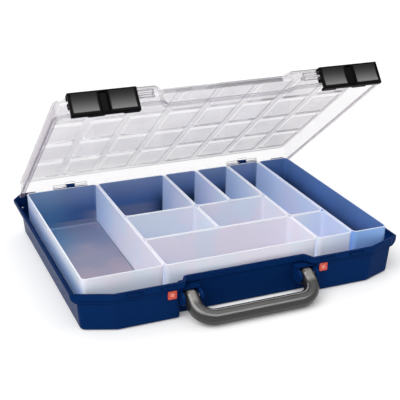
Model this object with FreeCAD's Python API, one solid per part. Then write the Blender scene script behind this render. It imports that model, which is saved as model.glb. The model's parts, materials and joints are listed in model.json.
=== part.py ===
"""Assortment case: a moulded tray with a clear hinged lid, two sliding latches, a swing handle and
ten loose bins. Millimetres, +Z up, +X to the right seen from the front, front towards -Y.
The origin lies on the underside of the tray, below the centre of the bin field."""
import FreeCAD
import Part
import math
import os

# Bin field: a grid of equal columns and three rows that the loose bins share out
column_pitch = 39.375
back_row_depth = 99.0
middle_row_depth = 59.5
front_row_depth = 59.5

# Bins
bin_height = 47.0
bin_wall = 1.4
bin_floor = 1.5
bin_gap = 0.6
bin_lean_width = 0.8
bin_corner_radius = 5.0
bin_foot_radius = 3.2

# Base tray
base_height = 37.5
base_wall = 1.8
base_floor = 2.0
base_side_lean_width = 3.2
base_front_lean_depth = 1.5
base_foot_radius = 2.6
field_side_gap = 0.5
field_recess_gap = 3.0
field_back_space = 13.2
corner_run = 31.0
corner_set = 12.0
corner_radius = 6.0
back_corner_radius = 7.0
band_height = 6.0
band_proud = 1.0
recess_depth = 10.0
recess_slant = 3.2
recess_corner_radius = 3.0
recess_inner_radius = 2.5
ledge_width = 4.1
ledge_slant = 5.0

# Flared side rims of the tray
flare_reach = 5.5
flare_height = 9.5
flare_lip_height = 2.6
flare_wall = 2.0
flare_bulge_depth = 1.0
flare_tip_radius = 1.5
ear_rise = 6.0
ear_run = 8.0
ear_length = 16.0

# Stop ribs on the floor of the tray
rib_height = 4.0
rib_width = 1.6
rib_gap = 0.5
rib_end_gap = 4.0

# Lid, drawn closed
lid_rim_gap = 0.3
lid_bin_gap = 3.2
lid_wall = 2.0
lid_plate = 2.2
lid_side_set = 1.6
lid_front_set = 2.0
lid_back_set = 2.5
lid_back_lift = 2.0
lid_recess_set = 0.2
lid_lean_depth = 1.4
lid_bevel = 2.4
lid_shoulder_drop = 7.0
lid_recess_lean_depth = 3.0
lid_flange_proud = 2.5
lid_flange_height = 2.0
lid_rest_angle = 38.0

# Pads on the inside of the lid's plate
pad_rows = 4
pad_height = 2.6
pad_border = 3.2
pad_bevel = 1.6
pad_radius = 3.0

# Lid hinges
hinge_rise = 6.5
hinge_set = 0.5
hinge_margin = 52.5
hinge_pin_radius = 1.5
hinge_pin_gap = 0.05
knuckle_radius = 3.6
knuckle_side_gap = 0.5
lid_knuckle_length = 14.0
base_knuckle_length = 9.0

# Latches and their rails, drawn closed and pushed open
latch_length = 62.0
latch_travel = 16.0
latch_plate = 3.0
latch_gap = 0.4
latch_face_gap = 0.8
latch_back_gap = 1.6
latch_top_flange = 2.4
latch_lip_height = 2.2
latch_rib = 2.2
latch_edge_radius = 0.8
rail_room = 4.2
rail_plate = 2.0
rail_web = 2.0
rail_height = 7.2
rail_length = 57.0
rail_margin = 3.9
scoop_border = 1.0
scoop_depth = 1.1
groove_width = 8.4
groove_border = 1.2
groove_depth = 1.9
groove_bevel = 1.4
hook_height = 2.2
hook_length = 14.5
hook_pitch = 32.0
hook_gap = 0.4
lug_drop = 1.9
lug_height = 2.0
lug_reach = 2.0
lug_clear = 0.5

# Carry handle
handle_half_width = 66.5
handle_bar = 14.0
handle_thickness = 13.6
handle_reach = 32.3
handle_outer_radius = 24.0
handle_inner_radius = 10.0
handle_edge_radius = 5.2
handle_ground_gap = 1.0
handle_side_gap = 0.4
handle_pivot_height = 20.5
handle_pivot_set = 10.2
handle_pin_radius = 3.0
handle_pin_gap = 0.05
handle_pin_engage = 2.6
cheek_thickness = 3.2
cheek_radius = 6.6
hood_gap = 0.5
hood_thickness = 1.8
hood_set = 2.0

# Lock marks in the front wall
mark_margin = 3.1
mark_width = 8.6
mark_height = 8.4
mark_centre_height = 26.0
mark_thickness = 1.6
mark_pocket = 0.9
mark_gap = 0.05
mark_radius = 1.0
mark_dimple_width = 3.2
mark_dimple_depth = 0.4

# Construction
overrun = 5.0
tolerance = 0.01
flare_bend_share = 0.5
flush_angle = 5.0

# Plan of the bin field, back row first: cells with the same letter make up one bin
LAYOUT = ("AABBCDEF", "AAGGHHEF", "AAIIIIJF")
BINS = {
    "A": "bin_long_wide",
    "B": "bin_back_wide",
    "C": "bin_back_narrow_left",
    "D": "bin_back_narrow_right",
    "E": "bin_medium_narrow",
    "F": "bin_long_narrow",
    "G": "bin_middle_left",
    "H": "bin_middle_right",
    "I": "bin_front_wide",
    "J": "bin_front_small",
}
SIDES = ("left", "right")

# Places in plan worked out from the sizes above
bin_columns = len(LAYOUT[0])
field_width = bin_columns * column_pitch
field_depth = back_row_depth + middle_row_depth + front_row_depth
field_front = -field_depth / 2
field_back = field_depth / 2
row_lines = (
    field_back,
    field_back - back_row_depth,
    field_back - back_row_depth - middle_row_depth,
    field_front,
)
base_half_bottom = field_width / 2 + field_side_gap + base_wall
base_half_rim = base_half_bottom + base_side_lean_width
flare_half = base_half_rim + flare_reach
recess_y = field_front - field_recess_gap - base_wall
recess_half = handle_half_width + handle_side_gap + cheek_thickness
recess_mouth = (recess_half, recess_half - recess_slant)
ledge_mouth = (recess_half - ledge_width, recess_half - ledge_width - ledge_slant)
wall_front = recess_y - recess_depth
wall_back = field_back + field_back_space + base_wall
band_front = wall_front - band_proud
hinge_y = wall_back - hinge_set
hinge_offset = field_width / 2 - hinge_margin
lid_half = base_half_rim - lid_side_set
lid_front = wall_front + lid_front_set
lid_back = wall_back - lid_back_set
lid_recess = recess_y - lid_recess_set
rail_back = lid_front - rail_room
rail_front = rail_back - rail_plate
latch_back = rail_front - latch_face_gap
latch_front = latch_back - latch_plate
latch_lip_front = rail_back + latch_gap
latch_lip_back = lid_front - latch_back_gap
lug_tip = band_front - lug_reach
rail_inner_end = recess_half + rail_margin
latch_inner_end = rail_inner_end + latch_travel
mark_offset = recess_half + mark_margin + mark_width / 2
handle_y = recess_y - handle_pivot_set

# Heights worked out from the sizes above
bin_top = base_floor + bin_height
flare_foot = base_height - flare_height
band_bottom = base_height - band_height
hinge_z = base_height + hinge_rise
lid_rim = base_height + lid_rim_gap
lid_inside = bin_top + lid_bin_gap + pad_height
lid_top = lid_inside + lid_plate
lid_shoulder = lid_top - lid_shoulder_drop
lid_flange_top = lid_rim + lid_flange_height
lug_top = base_height - lug_drop
lug_bottom = lug_top - lug_height
hook_top = lug_bottom - latch_gap
latch_bottom = hook_top - hook_height
latch_rib_bottom = lid_flange_top + latch_gap
latch_rib_top = latch_rib_bottom + latch_rib
rail_bottom = latch_rib_top + latch_gap
rail_top = rail_bottom + rail_height
latch_flange_bottom = rail_top + latch_gap
latch_top = latch_flange_bottom + latch_top_flange
web_top = latch_flange_bottom - latch_lip_height - latch_gap
web_bottom = web_top - rail_web


# Helpers
def vec(x, y, z):
    return FreeCAD.Vector(x, y, z)


def box(x, y, z):
    """A box from its spans along X, Y and Z."""
    spans = [sorted(span) for span in (x, y, z)]
    sizes = [high - low for low, high in spans]
    return Part.makeBox(*sizes, vec(*[low for low, high in spans]))


def rectangle(x, y):
    """Corners of a rectangle, counter-clockwise, from its two spans."""
    return [(x[0], y[0]), (x[1], y[0]), (x[1], y[1]), (x[0], y[1])]


def inset(points, distance):
    """Move every side of a counter-clockwise outline inwards by a distance."""
    moved = []
    count = len(points)
    for i in range(count):
        lines = []
        for a, b in ((points[i - 1], points[i]), (points[i], points[(i + 1) % count])):
            run = math.hypot(b[0] - a[0], b[1] - a[1])
            along = ((b[0] - a[0]) / run, (b[1] - a[1]) / run)
            lines.append(((a[0] - along[1] * distance, a[1] + along[0] * distance), along))
        (p, d), (q, e) = lines
        cross = d[0] * e[1] - d[1] * e[0]
        step = ((q[0] - p[0]) * e[1] - (q[1] - p[1]) * e[0]) / cross
        moved.append((p[0] + d[0] * step, p[1] + d[1] * step))
    return moved


def rounded_wire(points, radii, place):
    """A closed wire round an outline with an arc at each corner; place puts (u, v) into space."""
    corners = []
    count = len(points)
    for i in range(count):
        corner = vec(points[i][0], points[i][1], 0)
        before = vec(points[i - 1][0], points[i - 1][1], 0)
        after = vec(points[(i + 1) % count][0], points[(i + 1) % count][1], 0)
        back = (before - corner).normalize()
        ahead = (after - corner).normalize()
        half = back.getAngle(ahead) / 2
        reach = radii[i] / math.tan(half)
        crown = (back + ahead).normalize() * (radii[i] / math.sin(half) - radii[i])
        arc = [place(p.x, p.y) for p in (corner + back * reach, corner + crown, corner + ahead * reach)]
        corners.append(arc)
    edges = []
    for i in range(count):
        start, middle, end = corners[i]
        if radii[i] > 0:
            edges.append(Part.Arc(start, middle, end).toShape())
        edges.append(Part.LineSegment(end, corners[(i + 1) % count][0]).toShape())
    return Part.Wire(edges)


def plan_wire(points, radii, z):
    return rounded_wire(points, radii, lambda u, v: vec(u, v, z))


def prism(wire, direction):
    return Part.Face(wire).extrude(direction)


def loft(wires):
    return Part.makeLoft(wires, True, True)


def depth_prism(points, y, length):
    """A prism along Y over points (x, z)."""
    wire = Part.makePolygon([vec(u, y, v) for u, v in points + points[:1]])
    return prism(wire, vec(0, length, 0))


def width_prism(points, x, length):
    """A prism along X over points (y, z)."""
    wire = Part.makePolygon([vec(x, u, v) for u, v in points + points[:1]])
    return prism(wire, vec(length, 0, 0))


def rod(radius, length, centre):
    """A cylinder along X about its centre."""
    return Part.makeCylinder(radius, length, centre - vec(length / 2, 0, 0), vec(1, 0, 0))


def sided(shape, side):
    """A right-hand shape as drawn, or mirrored to the left."""
    if side == "right":
        return shape
    return shape.mirror(vec(0, 0, 0), vec(1, 0, 0))


def side_x(side, distance):
    """X of a place on the right or left at a distance from the middle."""
    return distance if side == "right" else -distance


def both_sides(shapes):
    return [sided(shape, side) for shape in shapes for side in SIDES]


def level_edges(shape, z):
    """Edges of a shape that lie in a level plane."""
    return [e for e in shape.Edges if all(abs(v.Z - z) < tolerance for v in e.Vertexes)]


def case_outline(half_width, front, back, recess, mouth, run, drop):
    """Plan of tray or lid, counter-clockwise: slanted recess, front, cut corner and side."""
    right = [
        (mouth[1], recess),
        (mouth[0], front),
        (half_width - run, front),
        (half_width, front + drop),
        (half_width, back),
    ]
    return right + [(-x, y) for x, y in reversed(right)]


def case_radii(shrink):
    """Corner radii of case_outline after it has been inset by shrink."""
    right = [
        recess_inner_radius + shrink,
        recess_corner_radius - shrink,
        corner_radius - shrink,
        corner_radius - shrink,
        back_corner_radius - shrink,
    ]
    return right + right[::-1]


# Base tray
def base_plan(z, mouth):
    """Outer plan of the tray's leaning wall at a height."""
    rise = z / base_height
    lean = base_front_lean_depth * (1 - rise)
    half = base_half_bottom + base_side_lean_width * rise
    return case_outline(half, wall_front + lean, wall_back - lean, recess_y, mouth, corner_run, corner_set)


def base_ring(z, shrink):
    return plan_wire(inset(base_plan(z, recess_mouth), shrink), case_radii(shrink), z)


def band_prism(shrink, low, high):
    """Upright prism round the rim, where the recess narrows to a ledge over the handle's ends."""
    plan = inset(base_plan(base_height, ledge_mouth), shrink)
    return prism(plan_wire(plan, case_radii(shrink), low), vec(0, 0, high - low))


def flare_plan(shrink):
    """Plan of the rim with its flares: the cut front corners run on to the flares' edges."""
    grown_set = corner_set * flare_reach / corner_run
    points = case_outline(flare_half, wall_front, wall_back + band_proud, recess_y, recess_mouth,
                          corner_run + flare_reach, corner_set + grown_set)
    radii = case_radii(shrink)
    for i in (3, 4, 5, 6):
        radii[i] = flare_tip_radius
    return plan_wire(inset(points, shrink), radii, 0)


def flare_space(shift, top):
    """The space inside the right-hand flare's face, moved inwards by shift, across the whole tray."""
    wall = base_half_bottom + base_side_lean_width * flare_foot / base_height - shift
    edge = flare_half - shift
    lip = base_height - flare_lip_height
    bend = vec(wall + (edge - wall) * flare_bend_share + flare_bulge_depth, 0,
               flare_foot + (lip - flare_foot) * flare_bend_share - flare_bulge_depth)
    start = vec(wall, 0, flare_foot)
    end = vec(edge, 0, lip)
    path = [end, vec(edge, 0, top), vec(0, 0, top), vec(0, 0, flare_foot), start]
    lines = [Part.LineSegment(a, b).toShape() for a, b in zip(path, path[1:])]
    face = Part.Face(Part.Wire([Part.Arc(start, bend, end).toShape()] + lines))
    face.translate(vec(0, band_front - overrun, 0))
    return face.extrude(vec(0, wall_back - band_front + 2 * overrun, 0))


def ear():
    """Upstand at the back end of the right-hand flare, sloping from the lip up to the back wall."""
    high = base_height + ear_rise
    points = [
        (flare_half, base_height),
        (flare_half - ear_run, high),
        (flare_half - ear_run - ear_length, high),
        (flare_half - ear_run - ear_length - ear_rise, base_height),
        (flare_half - ear_run - ear_length - ear_rise, band_bottom),
        (base_half_rim, band_bottom),
        (flare_half, base_height - flare_lip_height),
    ]
    return depth_prism(points, wall_back - base_wall, base_wall + band_proud)


def stop_ribs():
    """Low ribs that keep the bins in the middle of the tray."""
    z = (base_floor - rib_width, base_floor + rib_height)
    half = field_width / 2 - rib_end_gap
    near = field_back + rib_gap
    ribs = [box((-half, half), (near, near + rib_width), z)]
    x = (recess_half + rib_end_gap, base_half_bottom - corner_run)
    return ribs + both_sides([box(x, (-near, -near - rib_width), z)])


def catch_lugs():
    """Lugs on the rim band that the hooks of the latches slide under."""
    lugs = []
    for i in range(2):
        start = rail_inner_end + i * hook_pitch
        lugs.append(box((start, start + hook_length), (lug_tip, wall_front), (lug_bottom, lug_top)))
    return both_sides(lugs)


def handle_cheeks():
    """Two cheeks for each end of the handle, under a small hood on the recess wall."""
    root = recess_y + base_wall / 2
    hood = handle_pivot_height + handle_thickness / 2 + hood_gap
    hood_front = handle_y + hood_set
    centre = handle_centre("right")
    half = handle_bar / 2 + handle_side_gap + cheek_thickness
    pieces = [box((centre.x - half, centre.x + half), (hood_front, root), (hood, hood + hood_thickness))]
    for end in (-1, 1):
        near = centre.x + end * (half - cheek_thickness)
        x = (near, centre.x + end * half)
        pieces.append(rod(cheek_radius, cheek_thickness, vec(sum(x) / 2, handle_y, handle_pivot_height)))
        low = handle_pivot_height - cheek_radius
        pieces.append(box(x, (handle_y, root), (low, handle_pivot_height + cheek_radius)))
        pieces.append(box(x, (hood_front, root), (low, hood + hood_thickness)))
    return both_sides(pieces)


def base_knuckles():
    """Barrel in the middle of each lid hinge, carried by a tapered web on the back wall."""
    points = [
        (hinge_y - knuckle_radius, hinge_z),
        (wall_back - base_wall, band_bottom),
        (wall_back + band_proud, band_bottom),
        (hinge_y + knuckle_radius, hinge_z),
    ]
    web = width_prism(points, hinge_offset - base_knuckle_length / 2, base_knuckle_length)
    return both_sides([rod(knuckle_radius, base_knuckle_length, hinge_centre("right")), web])


def make_base():
    body = loft([base_ring(0, 0), base_ring(base_height, 0)])
    body = body.makeFillet(base_foot_radius, level_edges(body, 0))
    flare_rim = prism(flare_plan(0), vec(0, 0, base_height))
    flares = both_sides([flare_space(0, base_height).common(flare_rim)])
    body = body.fuse([band_prism(-band_proud, band_bottom, base_height)] + flares)
    above = base_height + overrun
    hollow = loft([base_ring(base_floor, base_wall), base_ring(above, base_wall)])
    trough_rim = prism(flare_plan(flare_wall), vec(0, 0, above))
    troughs = both_sides([flare_space(flare_wall, above).common(trough_rim)])
    body = body.cut([hollow, band_prism(base_wall, band_bottom + base_wall, above)] + troughs)
    body = body.fuse(both_sides([ear()]) + stop_ribs() + catch_lugs() + handle_cheeks() + base_knuckles())
    cuts = both_sides([mark_block(0, mark_pocket + overrun)])
    for side in SIDES:
        cuts.append(rod(hinge_pin_radius + hinge_pin_gap, hinge_length() + overrun, hinge_centre(side)))
        cuts.append(rod(handle_pin_radius + handle_pin_gap, handle_pin_length() + 2 * handle_pin_gap,
                        handle_centre(side)))
    return body.cut(cuts).removeSplitter()


# Lock marks
def mark_block(clear, depth):
    """Square block in the right half of the front wall, from the pocket's floor outwards."""
    floor_y = wall_front + base_front_lean_depth * (1 - mark_centre_height / base_height) + mark_pocket
    x = (mark_offset - mark_width / 2 + clear, mark_offset + mark_width / 2 - clear)
    z = (mark_centre_height - mark_height / 2 + clear, mark_centre_height + mark_height / 2 - clear)
    wire = rounded_wire(rectangle(x, z), [mark_radius] * 4, lambda u, v: vec(u, floor_y, v))
    return prism(wire, vec(0, -depth, 0))


def make_mark(side):
    block = mark_block(mark_gap, mark_thickness)
    face = block.BoundBox.YMin
    half = mark_dimple_width / 2
    dimple = box((mark_offset - half, mark_offset + half), (face - overrun, face + mark_dimple_depth),
                 (mark_centre_height - half, mark_centre_height + half))
    return sided(block.cut(dimple), side)


# Lid hinges
def hinge_centre(side):
    return vec(side_x(side, hinge_offset), hinge_y, hinge_z)


def hinge_length():
    return base_knuckle_length + 2 * (knuckle_side_gap + lid_knuckle_length)


def make_hinge_pin(side):
    return rod(hinge_pin_radius, hinge_length(), hinge_centre(side))


# Lid
def lid_plan(z, shrink):
    """Outer plan of the closed lid at a height, inset by shrink."""
    lean = lid_lean_depth * (z - lid_rim) / (lid_top - lid_rim)
    slope = lid_recess_lean_depth * max(0, z - lid_shoulder) / (lid_top - lid_shoulder)
    points = case_outline(lid_half - lean, lid_front + lean, lid_back - lean, lid_recess + slope,
                          ledge_mouth, corner_run, corner_set)
    return inset(points, shrink)


def lid_ring(z, shrink):
    bevel = max(0, z - (lid_top - lid_bevel))
    return plan_wire(lid_plan(z, shrink + bevel), case_radii(shrink), z)


def lid_pads():
    """Raised pads on the inside of the plate, one over each cell of the grid."""
    pads = []
    row_pitch = field_depth / pad_rows
    for i in range(bin_columns):
        for j in range(pad_rows):
            x = -field_width / 2 + i * column_pitch
            y = field_front + j * row_pitch
            cell = inset(rectangle((x, x + column_pitch), (y, y + row_pitch)), pad_border)
            foot = plan_wire(cell, [pad_radius] * 4, lid_inside)
            face = plan_wire(inset(cell, pad_bevel), [pad_radius - pad_bevel] * 4, lid_inside - pad_height)
            pads.append(loft([face, foot]))
    return pads


def lid_rail():
    """T-rail on the right half of the front wall, which carries a latch."""
    x = (rail_inner_end, rail_inner_end + rail_length)
    web = box(x, (rail_back, lid_front + lid_wall), (web_bottom, web_top))
    return web.fuse(box(x, (rail_front, rail_back), (rail_bottom, rail_top)))


def lid_notches():
    """Room in the lid's back wall for the tray's knuckles."""
    half = base_knuckle_length / 2 + knuckle_side_gap
    y = (lid_back - lid_lean_depth - lid_wall - overrun, lid_back + overrun)
    z = (lid_rim - overrun, hinge_z + knuckle_radius + knuckle_side_gap)
    return both_sides([box((hinge_offset - half, hinge_offset + half), y, z)])


def lid_knuckles():
    """Barrels on both sides of each of the tray's knuckles."""
    shift = vec((base_knuckle_length + lid_knuckle_length) / 2 + knuckle_side_gap, 0, 0)
    middle = hinge_centre("right")
    spots = (middle - shift, middle + shift)
    return both_sides([rod(knuckle_radius, lid_knuckle_length, spot) for spot in spots])


def make_lid():
    heights = (lid_rim, lid_shoulder, lid_top - lid_bevel, lid_top)
    body = loft([lid_ring(z, 0) for z in heights])
    flange = prism(plan_wire(lid_plan(lid_rim, -lid_flange_proud), case_radii(-lid_flange_proud), lid_rim),
                   vec(0, 0, lid_flange_height))
    body = body.fuse([flange] + both_sides([lid_rail()]))
    void_heights = (lid_rim - overrun, lid_shoulder, lid_inside)
    body = body.cut(loft([lid_ring(z, lid_wall) for z in void_heights]))
    body = body.fuse(lid_pads())
    back_strip = box((-flare_half, flare_half), (lid_back - lid_wall - lid_lean_depth, wall_back + overrun),
                     (lid_rim - overrun, lid_rim + lid_back_lift))
    body = body.cut([back_strip] + lid_notches()).fuse(lid_knuckles())
    bore = hinge_pin_radius + hinge_pin_gap
    body = body.cut([rod(bore, hinge_length() + overrun, hinge_centre(side)) for side in SIDES])
    return opened(body.removeSplitter())


def opened(shape):
    """Swing a closed lid piece up to its rest position."""
    shape.rotate(vec(0, hinge_y, hinge_z), vec(-1, 0, 0), lid_rest_angle)
    return shape


# Latches
def face_groove(x, z):
    """A groove with sloping sides in the latch's face."""
    place = lambda y: lambda u, v: vec(u, y, v)
    outer = rectangle(x, z)
    radii = [latch_edge_radius] * 4
    wires = [
        rounded_wire(outer, radii, place(latch_front - overrun)),
        rounded_wire(outer, radii, place(latch_front)),
        rounded_wire(inset(outer, groove_bevel), radii, place(latch_front + groove_depth)),
    ]
    return loft(wires)


def face_scoop(x, z):
    """A shallow hollow for a finger in the latch's face, round about an axis along X."""
    half = (z[1] - z[0]) / 2
    radius = (half ** 2 + scoop_depth ** 2) / (2 * scoop_depth)
    return rod(radius, x[1] - x[0], vec(sum(x) / 2, latch_front + scoop_depth - radius, sum(z) / 2))


def make_latch(side):
    """C-shaped clip round the lid's rail, with two hooks at its lower edge."""
    section = [
        (latch_front, latch_bottom),
        (lug_tip - lug_clear, latch_bottom),
        (lug_tip - lug_clear, hook_top),
        (latch_back, hook_top),
        (latch_back, latch_rib_bottom),
        (latch_lip_back, latch_rib_bottom),
        (latch_lip_back, web_bottom - latch_gap),
        (latch_lip_front, web_bottom - latch_gap),
        (latch_lip_front, latch_rib_top),
        (latch_back, latch_rib_top),
        (latch_back, latch_flange_bottom),
        (latch_lip_front, latch_flange_bottom),
        (latch_lip_front, web_top + latch_gap),
        (latch_lip_back, web_top + latch_gap),
        (latch_lip_back, latch_top),
        (latch_front, latch_top),
    ]
    body = width_prism(section, latch_inner_end, latch_length)
    front = [e for e in body.Edges if all(abs(v.Y - latch_front) < tolerance for v in e.Vertexes)]
    body = body.makeFillet(latch_edge_radius, front)
    hooks = []
    for i in range(2):
        start = latch_inner_end + i * hook_pitch
        hooks.append(box((start, start + hook_length), (latch_back, band_front - hook_gap),
                         (latch_bottom, hook_top)))
    body = body.fuse(hooks)
    middle = latch_inner_end + latch_length / 2
    groove = (middle - groove_width / 2, middle + groove_width / 2)
    cuts = [face_groove(groove, (latch_bottom + groove_border, latch_top - groove_border))]
    z = (latch_bottom + scoop_border, latch_top - scoop_border)
    for x in ((latch_inner_end + scoop_border, groove[0] - scoop_border),
              (groove[1] + scoop_border, latch_inner_end + latch_length - scoop_border)):
        cuts.append(face_scoop(x, z))
    body = body.cut(cuts).removeSplitter()
    return opened(sided(body, side))


# Carry handle
def handle_centre(side):
    return vec(side_x(side, handle_half_width - handle_bar / 2), handle_y, handle_pivot_height)


def handle_pin_length():
    return handle_bar + 2 * (handle_side_gap + handle_pin_engage)


def make_handle_pin(side):
    return rod(handle_pin_radius, handle_pin_length(), handle_centre(side))


def handle_rest_angle():
    """Angle below level at which the grip hangs just clear of the ground."""
    reach = handle_reach - handle_edge_radius
    drop = handle_thickness / 2 - handle_edge_radius
    height = handle_pivot_height - handle_edge_radius - handle_ground_gap
    return math.asin(height / math.hypot(reach, drop)) - math.atan2(drop, reach)


def make_handle():
    """U-shaped handle, drawn level with its grip to the front and then let down to rest."""
    low = handle_pivot_height - handle_thickness / 2
    half = handle_half_width
    inner = half - handle_bar
    front = handle_y - handle_reach
    grip = front + handle_bar
    outline = [(-half, handle_y), (-half, front), (half, front), (half, handle_y),
               (inner, handle_y), (inner, grip), (-inner, grip), (-inner, handle_y)]
    radii = [0, handle_outer_radius, handle_outer_radius, 0,
             0, handle_inner_radius, handle_inner_radius, 0]
    body = prism(plan_wire(outline, radii, low), vec(0, 0, handle_thickness))
    body = body.fuse([rod(handle_thickness / 2, handle_bar, handle_centre(side)) for side in SIDES])
    body = body.removeSplitter()
    sharp = [e for e in body.Edges if not is_flush(body, e)]
    body = body.makeFillet(handle_edge_radius, sharp)
    for side in SIDES:
        body = body.cut(rod(handle_pin_radius + handle_pin_gap, handle_bar + overrun, handle_centre(side)))
    body.rotate(vec(0, handle_y, handle_pivot_height), vec(1, 0, 0), math.degrees(handle_rest_angle()))
    return body


def is_flush(shape, edge):
    """True where the two faces beside an edge run into each other without a corner."""
    faces = shape.ancestorsOfType(edge, Part.Face)
    if len(faces) < 2:
        return True
    spot = edge.valueAt((edge.FirstParameter + edge.LastParameter) / 2)
    normals = []
    for face in faces:
        u, v = face.Surface.parameter(spot)
        normals.append(face.normalAt(u, v))
    return abs(normals[0].dot(normals[1])) > math.cos(math.radians(flush_angle))


# Bins
def bin_cells(letter):
    """Spans in X and Y of the cells that a letter takes in the layout."""
    columns = [i for row in LAYOUT for i, cell in enumerate(row) if cell == letter]
    rows = [j for j, row in enumerate(LAYOUT) if letter in row]
    left = min(columns) * column_pitch - field_width / 2
    right = (max(columns) + 1) * column_pitch - field_width / 2
    return (left, right), (row_lines[max(rows) + 1], row_lines[min(rows)])


def make_bin(letter):
    """Open bin with rounded corners and walls that lean outwards a little."""
    mouth = inset(rectangle(*bin_cells(letter)), bin_gap / 2)

    def ring(z, shrink):
        drawn_in = shrink + bin_lean_width * (bin_top - z) / bin_height
        return plan_wire(inset(mouth, drawn_in), [bin_corner_radius - drawn_in] * 4, z)

    body = loft([ring(base_floor, 0), ring(bin_top, 0)])
    body = body.makeFillet(bin_foot_radius, level_edges(body, base_floor))
    inside = base_floor + bin_floor
    hollow = loft([ring(inside, bin_wall), ring(bin_top + overrun, bin_wall)])
    hollow = hollow.makeFillet(bin_foot_radius - bin_wall, level_edges(hollow, inside))
    return body.cut(hollow)


def make_parts():
    """Every piece of the case by name."""
    parts = {"base_shell": make_base(), "lid_shell": make_lid(), "carry_handle": make_handle()}
    for side in SIDES:
        parts["hinge_pin_" + side] = make_hinge_pin(side)
        parts["latch_" + side] = make_latch(side)
        parts["handle_pin_" + side] = make_handle_pin(side)
        parts["lock_mark_" + side] = make_mark(side)
    for letter, name in BINS.items():
        parts[name] = make_bin(letter)
    return parts


os.makedirs("parts", exist_ok=True)
for part_name, part_shape in make_parts().items():
    part_shape.exportStep(os.path.join("parts", part_name + ".step"))
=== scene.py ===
"""Assortment case: finishes, stage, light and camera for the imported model, laid out as an add-on."""

import json
import math
from types import SimpleNamespace

import bpy
from bpy.props import FloatProperty, FloatVectorProperty, PointerProperty
from mathutils import Matrix, Vector


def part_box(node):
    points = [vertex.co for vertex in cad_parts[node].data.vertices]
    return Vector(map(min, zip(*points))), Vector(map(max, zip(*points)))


bl_info = {
    "name": "Assortment case",
    "version": (1, 0, 0),
    "blender": (4, 5, 0),
    "location": "View3D > Sidebar > Case",
    "description": "Dresses the assortment case: tray, lid, latches, handle, bins and stage",
    "category": "Object",
}

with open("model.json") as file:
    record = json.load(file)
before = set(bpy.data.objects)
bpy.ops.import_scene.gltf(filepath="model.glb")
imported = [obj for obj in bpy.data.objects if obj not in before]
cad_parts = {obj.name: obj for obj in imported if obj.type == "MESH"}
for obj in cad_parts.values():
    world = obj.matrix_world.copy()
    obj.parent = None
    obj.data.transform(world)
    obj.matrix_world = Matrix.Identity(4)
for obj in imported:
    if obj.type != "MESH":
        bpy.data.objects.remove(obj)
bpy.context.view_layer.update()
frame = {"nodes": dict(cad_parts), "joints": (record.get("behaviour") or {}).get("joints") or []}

BIN_NODES = sorted(name for name in frame["nodes"] if name.startswith("bin_"))
LATCH_NODES = ("latch_left", "latch_right")
MARK_NODES = ("lock_mark_left", "lock_mark_right")
PIN_NODES = ("hinge_pin_left", "hinge_pin_right", "handle_pin_left", "handle_pin_right")
WHITE = (1, 1, 1)


# Places read from the frame
def joint(name):
    """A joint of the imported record."""
    for row in frame["joints"]:
        if row["name"] == name:
            return row
    raise RuntimeError("the frame has no joint named " + name)


HINGE = Vector(joint("lid_hinge")["pos_m"])
LID_ANGLE = math.radians(-joint("lid_hinge")["range_deg"][0])
HANDLE_PIVOT = Vector(joint("handle_swing")["pos_m"])


def shut_box(name):
    """Lowest and highest corner of a node on the lid, as it lies with the lid shut."""
    turn = Matrix.Rotation(LID_ANGLE, 3, "X")
    spots = [turn @ (vertex.co - HINGE) + HINGE for vertex in frame["nodes"][name].data.vertices]
    return [Vector([pick(spot[i] for spot in spots) for i in range(3)]) for pick in (min, max)]


def middle(box):
    return (box[0] + box[1]) / 2


# Kinds of property
def colour(name, note, value):
    return FloatVectorProperty(name=name, description=note, default=value, size=3, min=0, max=1,
                               subtype="COLOR")


def share(name, note, value):
    return FloatProperty(name=name, description=note, default=value, min=0, max=1, subtype="FACTOR")


def length(name, note, value):
    return FloatProperty(name=name, description=note, default=value, min=0, precision=5, unit="LENGTH")


def zone(name, note, reach, soft):
    """How far a zone reaches from the place it is measured from, and the width of its soft border."""
    return FloatVectorProperty(name=name, description=note, default=(reach, soft), size=2, min=0,
                               precision=5, unit="LENGTH")


def point(name, note, value):
    return FloatVectorProperty(name=name, description=note, default=value, size=3, subtype="TRANSLATION",
                               unit="LENGTH")


def angle(name, note, degrees):
    return FloatProperty(name=name, description=note, default=math.radians(degrees), subtype="ANGLE")


def strength(name, note, value):
    return FloatProperty(name=name, description=note, default=value, min=0)


def lens_length(name, note, value):
    return FloatProperty(name=name, description=note, default=value, min=1, unit="CAMERA")


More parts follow.
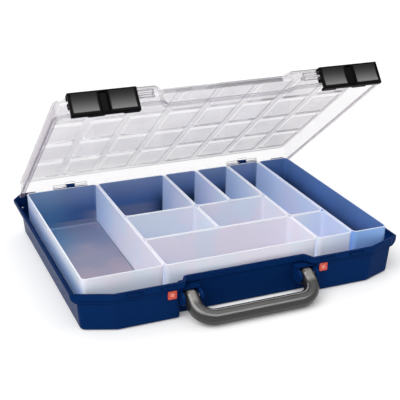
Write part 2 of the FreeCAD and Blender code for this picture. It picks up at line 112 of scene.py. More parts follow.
# Sizes and colours that a user would change
class CaseFinishes(bpy.types.PropertyGroup):
    tray: colour("Tray", "Deep blue of the moulded tray", (0.0018, 0.0175, 0.086))
    tray_light: colour("Tray, light", "Paler blue of its mottling", (0.003, 0.027, 0.118))
    # Painted shade: the darker blue along the tray's edges stands in for the shade that gathers at them.
    tray_edge: colour("Tray edge", "Darker blue along its edges", (0.0008, 0.006, 0.036))
    tray_rough: share("Tray gloss", "Roughness of the tray's skin", 0.24)
    tray_scuffed: share("Tray scuffs", "Roughness of its scuffs", 0.30)
    lid: colour("Lid", "Tint of the clear lid", (0.33, 0.25, 0.33))
    lid_pale: colour("Lid, pale", "Paler tint of its mottling", (0.39, 0.31, 0.39))
    # Painted shade and highlight: the grey edge lines stand in for the dark refraction of the clear edges,
    # paler on the right wall; the glints on the left pads are painted highlights.
    lid_edge: colour("Lid edge", "Grey of its edges", (0.10, 0.10, 0.12))
    lid_far_edge: colour("Lid edge, right", "Paler edges of its right wall", (0.50, 0.43, 0.47))
    lid_glint: colour("Lid glint", "Bright edges of its pads, on the left", (0.95, 0.95, 0.97))
    lid_cover: share("Lid cover", "How much the sheet hides where it is seen edge on", 0.70)
    lid_edge_cover: share("Lid edge cover", "How much more its outer edges hide", 0.85)
    lid_pad_cover: share("Lid pad cover", "How much more the edges of its pads hide", 0.34)
    lid_bevel_cover: share("Lid bevel cover", "How much more the bevel over its front wall hides", 0.5)
    lid_least_cover: share("Lid least cover", "How much the sheet hides everywhere", 0.03)
    lid_rear_cover: share("Lid rear cover", "How much it hides along its back wall", 0.10)
    lid_rear_edge: share("Lid rear edge", "How far edges at the back count as outer ones", 0.6)
    lid_knuckle_edge: share("Lid knuckle edge", "What the knuckles keep of the edges' cover", 0.15)
    bin: colour("Bin", "Milky plastic of the bins", (0.855, 0.912, 0.985))
    bin_pink: colour("Bin, pink", "Warmer streaks in the milky plastic", (0.92, 0.895, 0.965))
    # Painted highlight: the whiter rim stands in for the light that the bins' upward cut edges catch.
    bin_rim: colour("Bin rim", "Bright cut edge of the bins", (0.97, 0.97, 1.0))
    bin_blue_dark: colour("Bin, dark blue", "Where the tray shows through a wall", (0.039, 0.09, 0.222))
    bin_blue_light: colour("Bin, light blue", "Paler mottling of that blue", (0.0975, 0.225, 0.555))
    bin_shade: colour("Bin, shade", "Deep blue low on the walls to the right", (0.0143, 0.033, 0.0814))
    # Painted shade: the dark line stands in for the shade in the crease round the foot of the walls.
    bin_foot: colour("Bin foot", "Line round the foot of the walls", (0.0325, 0.075, 0.185))
    # Painted highlight: the bright teal patch stands in for light caught at the left end of the bins.
    bin_teal: colour("Bin, teal", "Bright patch at the left end of the long bin", (0.11, 0.28, 0.48))
    bin_haze: colour("Bin, pale blue", "Where the tray's blue lights a wall", (0.29, 0.53, 0.93))
    bin_floor: colour("Bin floor", "Where the tray shows through the floor, in front", (0.56, 0.43, 0.48))
    bin_floor_back: colour("Bin floor, back", "The same towards the back", (0.22, 0.26, 0.41))
    bin_clear: share("Bin clearness", "Share of the light that passes through a bin", 0.25)
    bin_top_blue: share("Bin, blue at the top", "What the walls keep of the tray's blue at the rim", 0.72)
    # Strength of the painted shade round the foot.
    bin_foot_line: share("Bin foot line", "How strongly the line round the foot shows", 0.7)
    bin_strip: share("Bin strip", "How strongly the floor tints the back wall of the wide bin", 0.8)
    haze_back: share("Haze, back", "Pale blue of the walls towards the back", 0.4)
    haze_column: share("Haze, right column", "Pale blue of the long narrow bin", 0.92)
    haze_beside: share("Haze, beside it", "Pale blue of the walls next to that bin", 0.22)
    haze_skirt: share("Haze, skirt", "Pale blue low on the outer left wall", 0.75)
    latch: colour("Latch", "Black of the latches' frame", (0.002, 0.002, 0.002))
    # Painted reflection: the grey of the scooped faces stands in for the sheen of the black plastic, lighter
    # at the foot where the hollow faces up.
    latch_panel: colour("Latch face", "Grey at the foot of their scooped faces", (0.20, 0.20, 0.203))
    latch_dark: colour("Latch face, top", "Grey at the top of their scooped faces", (0.022, 0.022, 0.023))
    handle: colour("Handle", "Dark grey of the handle", (0.016, 0.016, 0.015))
    handle_pale: colour("Handle, pale", "Paler grey of its mottling", (0.02, 0.02, 0.01875))
    # Painted highlight: the pale band stands in for the light that the top of each leg catches.
    handle_sheen: colour("Handle, sheen", "Light band on the top of each leg", (0.20, 0.19, 0.178))
    mark: colour("Lock mark", "Orange red of the lock marks", (0.80, 0.085, 0.035))
    mark_dark: colour("Lock mark, dark", "Darker red of their mottling", (0.56, 0.0595, 0.0245))
    mark_dimple: colour("Lock mark, dimple", "Paler hollow in their middle", (0.88, 0.30, 0.25))
    pin: colour("Pin", "Drawn steel of the pins", (0.55, 0.55, 0.57))
    pin_bright: colour("Pin, bright", "Brighter hair lines of the steel", (0.66, 0.66, 0.684))


class CaseSizes(bpy.types.PropertyGroup):
    # Width of the painted shade along the tray's edges.
    tray_edge: length("Tray edge", "Width of the dark line along the tray's edges", 0.0012)
    tray_round: length("Tray rounding", "Radius that the tray's edges are shaded with", 0.0006)
    # Width of the painted edge shade and glints on the lid.
    lid_edge: length("Lid edge", "Width of the lines along the lid's edges", 0.0014)
    lid_front: zone("Lid front", "Front wall and rails, from the front end", 0.0155, 0.002)
    lid_side: zone("Lid sides", "Side walls, from the sides", 0.0074, 0.001)
    lid_rear: zone("Lid rear", "Back wall, from the hinge", 0.008, 0.001)
    lid_knuckle: zone("Lid knuckles", "Knuckles, from the hinge", 0.0045, 0.0006)
    # Painted glints on the pads' edges fade to painted shade towards the right side.
    lid_glint: zone("Lid glints", "Where the pads' edges turn dark, from the right side", 0.1039, 0.16)
    # Zone of the painted highlight on the rims.
    bin_rim: zone("Bin rim", "Bright cut edge, from the top", 0.0006, 0.0004)
    bin_floor: zone("Bin floor", "Height of the floor's face, from the underside", 0.0025, 0.001)
    bin_foot: zone("Bin foot", "Line round the foot, from the underside", 0.0042, 0.0012)
    bin_wall: zone("Bin wall", "Walls that lie against the tray, from outside", 0.0028, 0.0016)
    bin_shine: zone("Bin shine", "Where the tray's blue grows weaker, from the top", 0.001, 0.03)
    bin_shade: zone("Bin shade", "Height of the deep blue, from the underside", 0.012, 0.02)
    bin_shade_side: zone("Bin shade side", "Where the deep blue starts, from the middle", 0.0, 0.02)
    # Zone of the painted teal highlight.
    bin_teal: zone("Bin teal", "Bright patch, from the left end", 0.02, 0.035)
    bin_teal_floor: zone("Bin teal floor", "The same on the floor, from the back", 0.03, 0.09)
    bin_sill: zone("Bin sill", "Floor's tint on the long bin's back wall, from the underside", 0.0075, 0.0012)
    bin_sill_side: zone("Bin sill side", "Where it ends, from the wide back bin", 0.0, 0.001)
    bin_strip: zone("Bin strip", "The same on the wide back bin, from the underside", 0.014, 0.006)
    bin_strip_side: zone("Bin strip side", "Where it ends, from that bin's right side", 0.03, 0.028)
    haze_back: zone("Haze, back", "Pale blue of the walls, from the back", 0.0, 0.12)
    haze_column: zone("Haze, right column", "From the left side of the long narrow bin", 0.0, 0.002)
    haze_beside: zone("Haze, beside it", "From the left side of the long narrow bin", 0.004, 0.035)
    haze_skirt: zone("Haze, skirt", "Outer face of the left wall, from outside", 0.0012, 0.0004)
    haze_skirt_drop: zone("Haze, skirt drop", "Start of its pale blue below the top", 0.02, 0.018)
    latch_side: length("Latch sides", "Frame beside the scooped faces", 0.0032)
    latch_groove: length("Latch groove", "Half the frame between the scooped faces", 0.006)
    latch_foot: length("Latch foot", "Frame below the scooped faces", 0.0037)
    latch_top: length("Latch top", "Frame above the scooped faces", 0.002)
    latch_depth: length("Latch depth", "How deep the scooped faces lie", 0.0017)
    latch_soft: length("Latch border", "Soft border of the scooped faces", 0.0009)
    latch_round: length("Latch rounding", "Radius that the latches' edges are shaded with", 0.0004)
    # Place and size of the painted highlight on the handle's legs.
    sheen_shift: length("Sheen shift", "Middle of the light band, outwards from the leg's middle", 0.0005)
    sheen_width: zone("Sheen width", "Half the width of the light band", 0.0015, 0.0035)
    sheen_ahead: length("Sheen place", "Middle of the light band, in front of the pivot", 0.005)
    sheen_length: zone("Sheen length", "Half the length of the light band", 0.004, 0.005)
    sheen_top: zone("Sheen height", "Underside of the light band, from the pivot", 0.0, 0.003)
    mark_dimple: zone("Dimple", "Half the side of the lock marks' hollow", 0.0016, 0.0004)
    mark_round: length("Lock mark rounding", "Radius that their edges are shaded with", 0.0003)


class CaseStage(bpy.types.PropertyGroup):
    floor: colour("Floor", "Pale floor", (0.90, 0.90, 0.90))
    floor_size: length("Floor size", "Side of the floor", 12.0)
    floor_gap: length("Floor gap", "Room between the floor and the tray", 0.0003)
    floor_glow: share("Floor glow", "Light that brings the floor up to white where it is seen", 0.16)
    sky_level: strength("Sky level", "Even light from all round", 0.64)
    key_level: strength("Key level", "Soft light from the left and above", 1.7)
    key_spread: angle("Key spread", "Width of the soft light", 50)
    key_tilt: angle("Key tilt", "Turn of the soft light towards the front", 17.5)
    key_lean: angle("Key lean", "Turn of the soft light towards the left", -31.6)
    card_level: strength("Cards", "Brightness of the cards that gloss mirrors", 6.0)
    card_width: length("Card width", "Width of both cards", 1.4)
    card_aim: point("Card aim", "Point that both cards face", (0.0, -0.14, 0.02))
    card_front: point("Front card", "Place of the card over the front", (-0.05, -0.42, 1.0))
    card_front_depth: length("Front card depth", "Depth of the card over the front", 0.7)
    card_back: point("Back card", "Place of the card over the back", (0.0, 0.62, 0.86))
    card_back_depth: length("Back card depth", "Depth of the card over the back", 0.35)


class CaseView(bpy.types.PropertyGroup):
    azimuth: angle("Azimuth", "Side that the camera looks from", -22.5)
    elevation: angle("Elevation", "Height of the camera above the horizon", 23.06)
    roll: angle("Roll", "Tilt of the picture", 0.31)
    distance: length("Distance", "From the camera to the point looked at", 0.94956)
    target_height: length("Target height", "Height of the point looked at", 0.049)
    sensor: lens_length("Sensor", "Width of the sensor", 36.0)
    focal: lens_length("Focal length", "Focal length of the lens", 82.50)
    shift_x: FloatProperty(name="Shift X", description="Sideways shift of the picture", default=0.0005)
    shift_y: FloatProperty(name="Shift Y", description="Upward shift of the picture", default=0.0233)
    near: length("Near limit", "Nearest distance that the camera sees", 0.01)
    far: length("Far limit", "Farthest distance that the camera sees", 50.0)


# Shader nodes
def feed(tree, socket, value):
    """Link another socket to this one, or set it to a number, a vector or an opaque colour."""
    if isinstance(value, bpy.types.NodeSocket):
        tree.links.new(value, socket)
    elif socket.type == "RGBA":
        socket.default_value = (*value, 1)
    else:
        socket.default_value = value


def set_inputs(tree, node, values):
    for key, value in values.items():
        feed(tree, node.inputs[key], value)


def new_node(tree, kind, inputs=None, **settings):
    """A shader node with its settings; its inputs are named, or numbered where names repeat."""
    made = tree.nodes.new("ShaderNode" + kind)
    for name, value in settings.items():
        setattr(made, name, value)
    set_inputs(tree, made, inputs or {})
    return made


def calc(tree, operation, *values, clamp=False):
    made = new_node(tree, "Math", dict(enumerate(values)), operation=operation, use_clamp=clamp)
    return made.outputs[0]


def chain(tree, operation, first, *others):
    """One operation over any number of values."""
    for value in others:
        first = calc(tree, operation, first, value)
    return first


def product(tree, *values):
    return chain(tree, "MULTIPLY", *values)


def highest(tree, *values):
    return chain(tree, "MAXIMUM", *values)


def absolute(tree, value):
    return calc(tree, "ABSOLUTE", value)


def away(tree, value, centre):
    """Distance of a value from a centre."""
    return absolute(tree, calc(tree, "SUBTRACT", value, centre))


def dot(tree, a, b):
    return new_node(tree, "VectorMath", {0: a, 1: b}, operation="DOT_PRODUCT").outputs["Value"]


def axes(tree, kind):
    """X, Y and Z of the piece's own coordinates: Object for places, Normal for slopes."""
    spot = new_node(tree, "TexCoord").outputs[kind]
    return new_node(tree, "SeparateXYZ", {0: spot}).outputs


def blend_colour(tree, factor, a, b):
    """Colour between a and b; each is a socket or a plain colour."""
    factor_input, a_input, b_input, colour_output = 0, 6, 7, 2
    made = new_node(tree, "Mix", {factor_input: factor, a_input: a, b_input: b}, data_type="RGBA")
    return made.outputs[colour_output]


def blend_value(tree, factor, start, end):
    """Number between a start, where the factor is 0, and an end, where it is 1."""
    return new_node(tree, "MapRange", {"Value": factor, "To Min": start, "To Max": end}).outputs["Result"]


# Masks
def ramp(tree, value, start, end):
    """Smooth rise from 0 at the start to 1 at the end."""
    made = new_node(tree, "MapRange", {"Value": value, "From Min": start, "From Max": end},
                    interpolation_type="SMOOTHSTEP")
    return made.outputs["Result"]


def above(tree, value, limit, soft):
    """Mask of values above a limit, with a soft border below it."""
    return ramp(tree, value, limit - soft, limit)


def below(tree, value, limit, soft):
    """Mask of values below a limit, with a soft border above it."""
    return ramp(tree, value, limit + soft, limit)


def from_high(tree, value, end, span):
    """Mask of a zone that reaches back from a high end, and of all beyond that end."""
    reach, soft = span
    return above(tree, value, end - reach, soft)


def from_low(tree, value, end, span):
    """Mask of a zone that reaches on from a low end, and of all before that end."""
    reach, soft = span
    return below(tree, value, end + reach, soft)


# Node groups that the finishes share
def new_group(name, inputs, outputs):
    """A node group with number inputs and outputs of the given kinds, and its two ends."""
    tree = bpy.data.node_groups.new(name, "ShaderNodeTree")
    for label, value in inputs.items():
        socket = tree.interface.new_socket(label, in_out="INPUT", socket_type="NodeSocketFloat")
        socket.default_value = value
    for label, kind in outputs.items():
        tree.interface.new_socket(label, in_out="OUTPUT", socket_type="NodeSocket" + kind)
    return tree, tree.nodes.new("NodeGroupInput").outputs, tree.nodes.new("NodeGroupOutput").inputs


def place_group(tree, build, inputs=None):
    """Outputs of a group placed in a material; the group is built when it is first used."""
    name = build.__name__
    group = bpy.data.node_groups.get(name) or build(name)
    return new_node(tree, "Group", inputs, node_tree=group).outputs


def moulded_skin(name):
    """Group: broad mottling, fine grain and hair scuffs of a moulded plastic skin."""
    tree, start, end = new_group(
        name,
        {"Mottle Scale": 18.0, "Grain Scale": 2400.0, "Scuff Scale": 60.0},
        {"Mottle": "Float", "Grain": "Float", "Scuff": "Float"},
    )
    spot = new_node(tree, "TexCoord").outputs["Object"]
    hair_turn = (0.4, 0.3, 0.7)
    hair_squeeze = (1.0, 9.0, 9.0)
    hair_spot = new_node(tree, "Mapping", {"Vector": spot, "Rotation": hair_turn, "Scale": hair_squeeze})
    noises = {}
    for label, vector, detail in (
        ("Mottle", spot, 4.0),
        ("Grain", spot, 2.0),
        ("Scuff", hair_spot.outputs["Vector"], 6.0),
    ):
        noise = {"Vector": vector, "Scale": start[label + " Scale"], "Detail": detail}
        noises[label] = new_node(tree, "TexNoise", noise).outputs["Fac"]
    noises["Scuff"] = above(tree, noises["Scuff"], limit=0.60, soft=0.08)
    for label, value in noises.items():
        feed(tree, end[label], value)
    return tree


def rounded_edges(name):
    """Group: normals that round the sharp edges of a piece, and a mask along those edges."""
    tree, start, end = new_group(
        name,
        {"Radius": 0.001, "Turn Start": 0.0, "Turn End": 1.0},
        {"Normal": "Vector", "Edge": "Float"},
    )
    rounded = new_node(tree, "Bevel", {"Radius": start["Radius"]}, samples=8).outputs["Normal"]
    plain = new_node(tree, "NewGeometry").outputs["Normal"]
    turn = calc(tree, "SUBTRACT", 1.0, dot(tree, rounded, plain))
    edge = {"Value": turn, "From Min": start["Turn Start"], "From Max": start["Turn End"]}
    feed(tree, end["Normal"], rounded)
    feed(tree, end["Edge"], new_node(tree, "MapRange", edge).outputs["Result"])
    return tree


def shut_lid(name):
    """Group: place of a spot on the lid or a latch, as it lies with the lid shut."""
    tree, _, end = new_group(name, {}, {"X": "Float", "Y": "Float", "Z": "Float"})
    spot = new_node(tree, "TexCoord").outputs["Object"]
    move = HINGE - Matrix.Rotation(LID_ANGLE, 3, "X") @ HINGE
    turned = new_node(tree, "Mapping", {"Vector": spot, "Rotation": (LID_ANGLE, 0, 0), "Location": move})
    places = new_node(tree, "SeparateXYZ", {0: turned.outputs["Vector"]}).outputs
    for label in "XYZ":
        feed(tree, end[label], places[label])
    return tree


def skin(tree, mottle, grain, scuff):
    """Mottle, grain and scuffs of a piece, each at its own scale."""
    scales = {"Mottle Scale": mottle, "Grain Scale": grain, "Scuff Scale": scuff}
    return place_group(tree, moulded_skin, scales)


def scuffed(tree, surface, smooth, worn):
    """Roughness between the plain skin and its scuffs."""
    return blend_value(tree, surface["Scuff"], smooth, worn)


def edge_line(tree, radius, start, end):
    """Mask along sharp edges, between two amounts of turn."""
    return place_group(tree, rounded_edges, {"Radius": radius, "Turn Start": start, "Turn End": end})["Edge"]


def grain_bump(tree, surface, depth, rounding=None):
    """Normal of the fine grain; with a rounding, sharp edges shade as rounded too."""
    inputs = {"Height": surface["Grain"], "Strength": 1.0, "Distance": depth}
    if rounding:
        inputs["Normal"] = place_group(tree, rounded_edges, {"Radius": rounding})["Normal"]
    return new_node(tree, "Bump", inputs).outputs["Normal"]


# Finishes
def new_material(name):
    """An empty material with its Principled shader."""
    made = bpy.data.materials.new(name)
    made.use_nodes = True
    return made, made.node_tree, made.node_tree.nodes["Principled BSDF"]


def dress(nodes, material):
    """Give CAD nodes one finish."""
    for name in nodes:
        mesh = frame["nodes"][name].data
        mesh.materials.clear()
        mesh.materials.append(material)


def tray_plastic(look, size):
    """Deep blue plastic with painted shade along its edges."""
    made, tree, shader = new_material("tray_plastic")
    surface = skin(tree, mottle=14.0, grain=2600.0, scuff=45.0)
    base = blend_colour(tree, surface["Mottle"], look.tray, look.tray_light)
    # Mask of the painted shade along the edges.
    line = edge_line(tree, size.tray_edge, start=0.03, end=0.22)
    set_inputs(tree, shader, {
        "Base Color": blend_colour(tree, line, base, look.tray_edge),
        "Roughness": scuffed(tree, surface, look.tray_rough, look.tray_scuffed),
        "Specular IOR Level": 0.012,
        "Normal": grain_bump(tree, surface, depth=0.00002, rounding=size.tray_round),
    })
    return made


def front_bevel(tree):
    """Mask of the bevel between the lid's top and its front wall."""
    outwards = Matrix.Rotation(-LID_ANGLE, 3, "X") @ Vector((0, -1, 1)).normalized()
    slope = new_node(tree, "TexCoord").outputs["Normal"]
    return above(tree, absolute(tree, dot(tree, slope, outwards)), limit=0.94, soft=0.04)


def clear_lid(look, size):
    """Clear sheet: it shows most where it is seen edge on, and along its edges. Its edge lines are painted
    shade, paler on the right wall, in place of the dark refraction of a clear edge; on the left the edges of
    its pads carry painted glints instead.
    """
    made, tree, shader = new_material("clear_lid")
    surface = skin(tree, mottle=26.0, grain=1500.0, scuff=30.0)
    mottle = surface["Mottle"]
    facing = new_node(tree, "LayerWeight", {"Blend": 0.5}).outputs["Facing"]
    low, high = shut_box("lid_shell")
    x, y, _ = place_group(tree, shut_lid)
    bevel = front_bevel(tree)
    line = edge_line(tree, size.lid_edge, start=0.015, end=0.09)
    rear = from_high(tree, y, HINGE.y, size.lid_rear)
    knuckle = from_high(tree, y, HINGE.y, size.lid_knuckle)
    right = from_high(tree, x, high.x, size.lid_side)
    outside = highest(
        tree,
        from_low(tree, y, low.y, size.lid_front),
        from_high(tree, absolute(tree, x), high.x, size.lid_side),
        product(tree, rear, look.lid_rear_edge),
    )

    # Painted glints on the pads' edges on the left, turning to painted shade on the right; the outer edges
    # get painted shade, paler on the right wall.
    glint = blend_colour(tree, from_high(tree, x, high.x, size.lid_glint), look.lid_glint, look.lid_edge)
    edge = blend_colour(tree, outside, glint, look.lid_edge)
    edge = blend_colour(tree, right, edge, look.lid_far_edge)
    base = blend_colour(tree, mottle, look.lid, look.lid_pale)
    # Painted shade where the sheet is seen edge on.
    base = blend_colour(tree, above(tree, facing, limit=0.90, soft=0.06), base, look.lid_edge)
    base = blend_colour(tree, bevel, base, edge)
    base = blend_colour(tree, line, base, edge)

    steepness = 3.0
    uneven = blend_value(tree, mottle, start=0.6, end=1.4)
    slant = product(tree, calc(tree, "POWER", facing, steepness), look.lid_cover, uneven)
    line_cover = blend_value(tree, outside, look.lid_pad_cover, look.lid_edge_cover)
    line_cover = product(tree, line, line_cover, blend_value(tree, knuckle, 1.0, look.lid_knuckle_edge))
    broken = highest(tree, outside, above(tree, mottle, limit=0.48, soft=0.08))
    bevel_cover = product(tree, bevel, broken, look.lid_bevel_cover)
    sheet = blend_value(tree, rear, look.lid_least_cover, look.lid_rear_cover)
    cover = calc(tree, "ADD", chain(tree, "ADD", slant, line_cover, bevel_cover), sheet, clamp=True)
    set_inputs(tree, shader, {
        "Base Color": base,
        "Roughness": scuffed(tree, surface, smooth=0.05, worn=0.16),
        "Alpha": cover,
    })
    return made


def bin_field():
    """Box of all the bins, and the sides of those at which a tint starts or ends."""
    boxes = [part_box(name) for name in BIN_NODES]
    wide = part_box("bin_back_wide")
    return SimpleNamespace(
        low=Vector([min(box[0][i] for box in boxes) for i in range(3)]),
        high=Vector([max(box[1][i] for box in boxes) for i in range(3)]),
        column=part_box("bin_long_narrow")[0].x,
        wide_left=wide[0].x,
        wide_right=wide[1].x,
    )


def bin_haze(tree, look, size, field, at):
    """Mask of the pale blue that the tray throws on the walls near it."""
    drop, drop_soft = size.haze_skirt_drop
    skirt = product(tree, from_low(tree, at.x, field.low.x, size.haze_skirt),
                    below(tree, at.z, field.high.z - drop, drop_soft))
    return highest(
        tree,
        product(tree, from_high(tree, at.y, field.high.y, size.haze_back), look.haze_back),
        product(tree, from_high(tree, at.x, field.column, size.haze_column), look.haze_column),
        product(tree, from_high(tree, at.x, field.column, size.haze_beside), look.haze_beside),
        product(tree, skirt, look.haze_skirt),
    )


def bin_blue(tree, look, size, field, at):
    """Colour of a wall that the tray shows through: painted shade low on the right, a painted highlight of
    brighter teal at the left end.
    """
    blue = blend_colour(tree, at.mottle, look.bin_blue_dark, look.bin_blue_light)
    shade = product(tree, from_low(tree, at.z, field.low.z, size.bin_shade),
                    from_high(tree, at.x, middle((field.low, field.high)).x, size.bin_shade_side))
    blue = blend_colour(tree, shade, blue, look.bin_shade)
    return blend_colour(tree, at.teal, blue, look.bin_teal)


def bin_ground(tree, look, size, field, at):
    """Colour of the floor that the tray shows through: warm in front, blue towards the back."""
    whole = (0, field.high.y - field.low.y)
    back = calc(tree, "ADD", from_high(tree, at.y, field.high.y, whole),
                blend_value(tree, at.mottle, start=-0.6, end=0.6), clamp=True)
    ground = blend_colour(tree, back, look.bin_floor, look.bin_floor_back)
    # The painted teal highlight reaches onto the floor near the back.
    patch = product(tree, at.teal, from_high(tree, at.y, field.high.y, size.bin_teal_floor))
    return blend_colour(tree, patch, ground, look.bin_teal)


def floor_on_wall(tree, look, size, field, at):
    """Mask of the floor's tint low on the back walls of the long and the wide bin."""
    sill = product(tree, from_low(tree, at.x, field.wide_left, size.bin_sill_side),
                   from_low(tree, at.z, field.low.z, size.bin_sill))
    inset, soft = size.bin_strip_side
    sill_end = field.wide_left + size.bin_sill_side[1]
    strip = product(
        tree,
        above(tree, at.x, sill_end, soft),
        below(tree, at.x, field.wide_right - inset, soft),
        from_low(tree, at.z, field.low.z, size.bin_strip),
        look.bin_strip,
    )
    return highest(tree, sill, strip)


def let_lamps_through(tree, shader, tint):
    """Tint the lamps' light that reaches what lies behind a milky wall, in place of a full shadow."""
    through = new_node(tree, "BsdfTransparent", {"Color": tint})
    shadow = new_node(tree, "LightPath").outputs["Is Shadow Ray"]
    either = new_node(tree, "MixShader", {0: shadow, 1: shader.outputs[0], 2: through.outputs[0]})
    feed(tree, tree.nodes["Material Output"].inputs["Surface"], either.outputs[0])


def milky_bin(look, size):
    """Milky plastic with painted highlights on its rims and painted shade round the foot of its walls; the
    tray's blue shows through the walls and floor that lie on it.
    """
    made, tree, shader = new_material("milky_bin")
    surface = skin(tree, mottle=22.0, grain=1800.0, scuff=50.0)
    field = bin_field()
    low, high = field.low, field.high
    x, y, z = axes(tree, "Object")
    lean_x, lean_y, lean_z = axes(tree, "Normal")
    at = SimpleNamespace(x=x, y=y, z=z, mottle=surface["Mottle"])  # a spot on a bin
    # Painted highlight: brighter teal at the left end of the bins.
    at.teal = product(tree, from_low(tree, x, low.x, size.bin_teal),
                      blend_value(tree, at.mottle, start=0.4, end=1.0))
    level = above(tree, absolute(tree, lean_z), limit=0.75, soft=0.3)
    steep = calc(tree, "SUBTRACT", 1.0, level)
    back_wall, right_wall = (
        product(tree, below(tree, lean, limit=-0.5, soft=0.4), from_high(tree, side, end, size.bin_wall))
        for side, end, lean in ((y, high.y, lean_y), (x, high.x, lean_x))
    )
    shine = blend_value(tree, from_high(tree, z, high.z, size.bin_shine), 1.0, look.bin_top_blue)
    blue = product(tree, highest(tree, back_wall, right_wall), shine)
    # Painted shade in the crease round the foot of the walls.
    foot = product(tree, steep, from_low(tree, z, low.z, size.bin_foot), look.bin_foot_line)
    floor = product(tree, level, from_low(tree, z, low.z, size.bin_floor))
    floor = highest(tree, floor, product(tree, floor_on_wall(tree, look, size, field, at), back_wall))
    # Painted highlight along the rims.
    rim = product(tree, level, from_high(tree, z, high.z, size.bin_rim))

    base = blend_colour(tree, above(tree, at.mottle, limit=0.58, soft=0.18), look.bin, look.bin_pink)
    for mask, tint in (
        (bin_haze(tree, look, size, field, at), look.bin_haze),
        (blue, bin_blue(tree, look, size, field, at)),
        (foot, look.bin_foot),
        (floor, bin_ground(tree, look, size, field, at)),
        (rim, look.bin_rim),
    ):
        base = blend_colour(tree, mask, base, tint)
    set_inputs(tree, shader, {
        "Base Color": base,
        "Roughness": scuffed(tree, surface, smooth=0.36, worn=0.48),
        "IOR": 1.3,
        "Transmission Weight": look.bin_clear,
        "Normal": grain_bump(tree, surface, depth=0.00001),
    })
    let_lamps_through(tree, shader, look.bin)
    return made


def latch_plastic(look, size):
    """Black frame; its scooped faces, marked out on the shut lid, carry a painted grey reflection, lighter at
    the foot and darker at the top.
    """
    made, tree, shader = new_material("latch_plastic")
    surface = skin(tree, mottle=40.0, grain=3000.0, scuff=90.0)
    low, high = shut_box("latch_right")
    x, y, z = place_group(tree, shut_lid)
    across = absolute(tree, x)
    soft = size.latch_soft
    foot = low.z + size.latch_foot
    top = high.z - size.latch_top
    face = product(
        tree,
        above(tree, across, low.x + size.latch_side, soft),
        below(tree, across, high.x - size.latch_side, soft),
        above(tree, away(tree, across, middle((low, high)).x), size.latch_groove, soft),
        above(tree, z, foot, soft),
        below(tree, z, top, soft),
        below(tree, y, low.y + size.latch_depth, soft),
    )
    # Painted shading of the hollow faces: the grey reflection grows darker towards the top.
    early = 0.5
    rise = calc(tree, "POWER", ramp(tree, z, foot, top), early)
    grey = blend_colour(tree, rise, look.latch_panel, look.latch_dark)
    set_inputs(tree, shader, {
        "Base Color": blend_colour(tree, face, look.latch, grey),
        "Roughness": blend_value(tree, face, start=0.38, end=0.52),
        "Specular IOR Level": 0.02,
        "Normal": grain_bump(tree, surface, depth=0.00004, rounding=size.latch_round),
    })
    return made


def handle_plastic(look, size):
    """Dark plastic with a painted highlight on the top of each leg, next to its pivot."""
    made, tree, shader = new_material("handle_plastic")
    surface = skin(tree, mottle=30.0, grain=2200.0, scuff=70.0)
    x, y, z = axes(tree, "Object")
    leg = middle(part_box("handle_pin_right")).x
    # Mask of the painted highlight on the top of each leg.
    sheen = product(
        tree,
        below(tree, away(tree, absolute(tree, x), leg + size.sheen_shift), *size.sheen_width),
        below(tree, away(tree, y, HANDLE_PIVOT.y - size.sheen_ahead), *size.sheen_length),
        from_high(tree, z, HANDLE_PIVOT.z, size.sheen_top),
    )
    base = blend_colour(tree, surface["Mottle"], look.handle, look.handle_pale)
    set_inputs(tree, shader, {
        "Base Color": blend_colour(tree, sheen, base, look.handle_sheen),
        "Roughness": scuffed(tree, surface, smooth=0.17, worn=0.22),
        "Specular IOR Level": 0.5,
        "Normal": grain_bump(tree, surface, depth=0.00003),
    })
    return made


def mark_plastic(look, size):
    """Orange red plastic with a paler dimple."""
    made, tree, shader = new_material("mark_plastic")
    surface = skin(tree, mottle=60.0, grain=2600.0, scuff=90.0)
    x, _, z = axes(tree, "Object")
    centre = middle(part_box("lock_mark_right"))
    dimple = product(
        tree,
        below(tree, away(tree, absolute(tree, x), centre.x), *size.mark_dimple),
        below(tree, away(tree, z, centre.z), *size.mark_dimple),
    )
    base = blend_colour(tree, surface["Mottle"], look.mark, look.mark_dark)
    set_inputs(tree, shader, {
        "Base Color": blend_colour(tree, dimple, base, look.mark_dimple),
        "Roughness": scuffed(tree, surface, smooth=0.28, worn=0.40),
        "Normal": grain_bump(tree, surface, depth=0.00002, rounding=size.mark_round),
    })
    return made


def drawn_steel(look):
    """Steel with brighter hair lines."""
    made, tree, shader = new_material("drawn_steel")
    surface = skin(tree, mottle=80.0, grain=4000.0, scuff=160.0)
    set_inputs(tree, shader, {
        "Base Color": blend_colour(tree, surface["Scuff"], look.pin, look.pin_bright),
        "Metallic": 1.0,
        "Roughness": blend_value(tree, surface["Mottle"], start=0.22, end=0.40),
    })
    return made


# Stage
def seen(tree):
    """1 for rays that show the background: straight from the camera, in gloss or through glass."""
    path = new_node(tree, "LightPath").outputs
    return highest(tree, path["Is Camera Ray"], path["Is Glossy Ray"], path["Is Transmission Ray"])


def set_floor(scene, stage):
    """A plain floor just under the tray."""
    half = stage.floor_size / 2
    corners = ((-half, -half), (half, -half), (half, half), (-half, half))
    mesh = bpy.data.meshes.new("floor")
    mesh.from_pydata([(x, y, -stage.floor_gap) for x, y in corners], [], [range(len(corners))])
    floor = bpy.data.objects.new("floor", mesh)
    scene.collection.objects.link(floor)
    made, tree, shader = new_material("pale_floor")
    set_inputs(tree, shader, {
        "Base Color": stage.floor,
        "Roughness": 0.9,
        "Specular IOR Level": 0.1,
        "Emission Color": WHITE,
        "Emission Strength": product(tree, seen(tree), stage.floor_glow),
    })
    mesh.materials.append(made)


def add_lamp(scene, name, kind, **settings):
    """A lamp linked to the scene."""
    light = bpy.data.lights.new(name, kind)
    for key, value in settings.items():
        setattr(light, key, value)
    lamp = bpy.data.objects.new(name, light)
    scene.collection.objects.link(lamp)
    return lamp


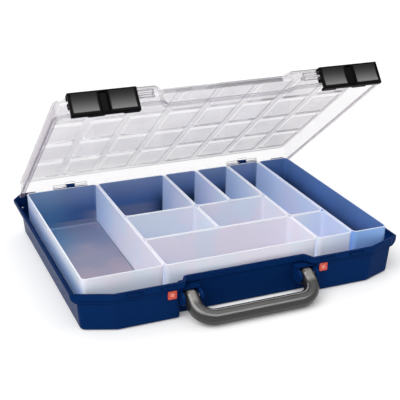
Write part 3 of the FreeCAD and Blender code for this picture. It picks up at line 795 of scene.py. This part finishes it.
def set_light(scene, stage):
    """White surroundings, a soft key light, and two cards that show only in gloss."""
    world = bpy.data.worlds.new("studio")
    world.use_nodes = True
    scene.world = world
    tree = world.node_tree
    white_level = 1.0
    set_inputs(tree, tree.nodes["Background"], {
        "Color": WHITE,
        "Strength": blend_value(tree, seen(tree), stage.sky_level, white_level),
    })
    key = add_lamp(scene, "key", "SUN", energy=stage.key_level, angle=stage.key_spread)
    key.rotation_euler = (stage.key_tilt, stage.key_lean, 0)
    for name, place, depth in (
        ("card_front", stage.card_front, stage.card_front_depth),
        ("card_back", stage.card_back, stage.card_back_depth),
    ):
        power = stage.card_level * math.pi * stage.card_width * depth
        card = add_lamp(scene, name, "AREA", shape="RECTANGLE", size=stage.card_width, size_y=depth,
                        energy=power)
        card.location = place
        card.rotation_euler = (Vector(place) - Vector(stage.card_aim)).to_track_quat("Z", "Y").to_euler()
        card.visible_diffuse = False
        card.visible_transmission = False


def set_camera(scene, view):
    """A camera at the photograph's viewing angle."""
    lens = bpy.data.cameras.new("camera")
    lens.sensor_width = view.sensor
    lens.lens = view.focal
    lens.shift_x = view.shift_x
    lens.shift_y = view.shift_y
    lens.clip_start = view.near
    lens.clip_end = view.far
    back = Vector((math.sin(view.azimuth) * math.cos(view.elevation),
                   -math.cos(view.azimuth) * math.cos(view.elevation), math.sin(view.elevation)))
    right = Vector((0, 0, 1)).cross(back).normalized()
    turn = Matrix((right, back.cross(right), back)).transposed()
    camera = bpy.data.objects.new("camera", lens)
    camera.matrix_world = (Matrix.Translation(Vector((0, 0, view.target_height)) + back * view.distance)
                           @ turn.to_4x4() @ Matrix.Rotation(view.roll, 4, "Z"))
    scene.collection.objects.link(camera)
    scene.camera = camera


# Operators
def chosen(context):
    """Colours and sizes that the finishes are made with."""
    return context.scene.case_finishes, context.scene.case_sizes


class CASE_OT_tray(bpy.types.Operator):
    """Finish the tray, its pins and the lock marks"""
    bl_idname = "case.tray"
    bl_label = "Tray"

    def execute(self, context):
        look, size = chosen(context)
        dress(("base_shell",), tray_plastic(look, size))
        dress(PIN_NODES, drawn_steel(look))
        dress(MARK_NODES, mark_plastic(look, size))
        return {"FINISHED"}


class CASE_OT_lid(bpy.types.Operator):
    """Finish the clear lid"""
    bl_idname = "case.lid"
    bl_label = "Lid"

    def execute(self, context):
        dress(("lid_shell",), clear_lid(*chosen(context)))
        return {"FINISHED"}


class CASE_OT_latches(bpy.types.Operator):
    """Finish the sliding latches"""
    bl_idname = "case.latches"
    bl_label = "Latches"

    def execute(self, context):
        dress(LATCH_NODES, latch_plastic(*chosen(context)))
        return {"FINISHED"}


class CASE_OT_handle(bpy.types.Operator):
    """Finish the carry handle"""
    bl_idname = "case.handle"
    bl_label = "Handle"

    def execute(self, context):
        dress(("carry_handle",), handle_plastic(*chosen(context)))
        return {"FINISHED"}


class CASE_OT_bins(bpy.types.Operator):
    """Finish the loose bins"""
    bl_idname = "case.bins"
    bl_label = "Bins"

    def execute(self, context):
        dress(BIN_NODES, milky_bin(*chosen(context)))
        return {"FINISHED"}


class CASE_OT_stage(bpy.types.Operator):
    """Set the floor, the light and the camera"""
    bl_idname = "case.stage"
    bl_label = "Stage"

    def execute(self, context):
        scene = context.scene
        scene.view_settings.view_transform = "Standard"
        sheets_in_line = 48  # clear faces that one ray may pass
        scene.cycles.transparent_max_bounces = sheets_in_line
        set_floor(scene, scene.case_stage)
        set_light(scene, scene.case_stage)
        set_camera(scene, scene.case_view)
        return {"FINISHED"}


class CASE_PT_panel(bpy.types.Panel):
    """Lists the steps that dress the case, and its sizes and colours"""
    bl_label = "Assortment case"
    bl_space_type = "VIEW_3D"
    bl_region_type = "UI"
    bl_category = "Case"

    def draw(self, context):
        for step in STEPS:
            self.layout.operator(step.bl_idname)
        for name, kind in GROUPS.items():
            column = self.layout.column()
            for prop in kind.__annotations__:
                column.prop(getattr(context.scene, name), prop)


GROUPS = {
    "case_finishes": CaseFinishes,
    "case_sizes": CaseSizes,
    "case_stage": CaseStage,
    "case_view": CaseView,
}
STEPS = (CASE_OT_tray, CASE_OT_lid, CASE_OT_latches, CASE_OT_handle, CASE_OT_bins, CASE_OT_stage)
CLASSES = (*GROUPS.values(), *STEPS, CASE_PT_panel)


def register():
    for cls in CLASSES:
        bpy.utils.register_class(cls)
    for name, kind in GROUPS.items():
        setattr(bpy.types.Scene, name, PointerProperty(type=kind))


def unregister():
    for name in GROUPS:
        delattr(bpy.types.Scene, name)
    for cls in reversed(CLASSES):
        bpy.utils.unregister_class(cls)


def main():
    register()
    bpy.ops.case.tray()
    bpy.ops.case.lid()
    bpy.ops.case.latches()
    bpy.ops.case.handle()
    bpy.ops.case.bins()
    bpy.ops.case.stage()


if __name__ == "__main__":
    main()
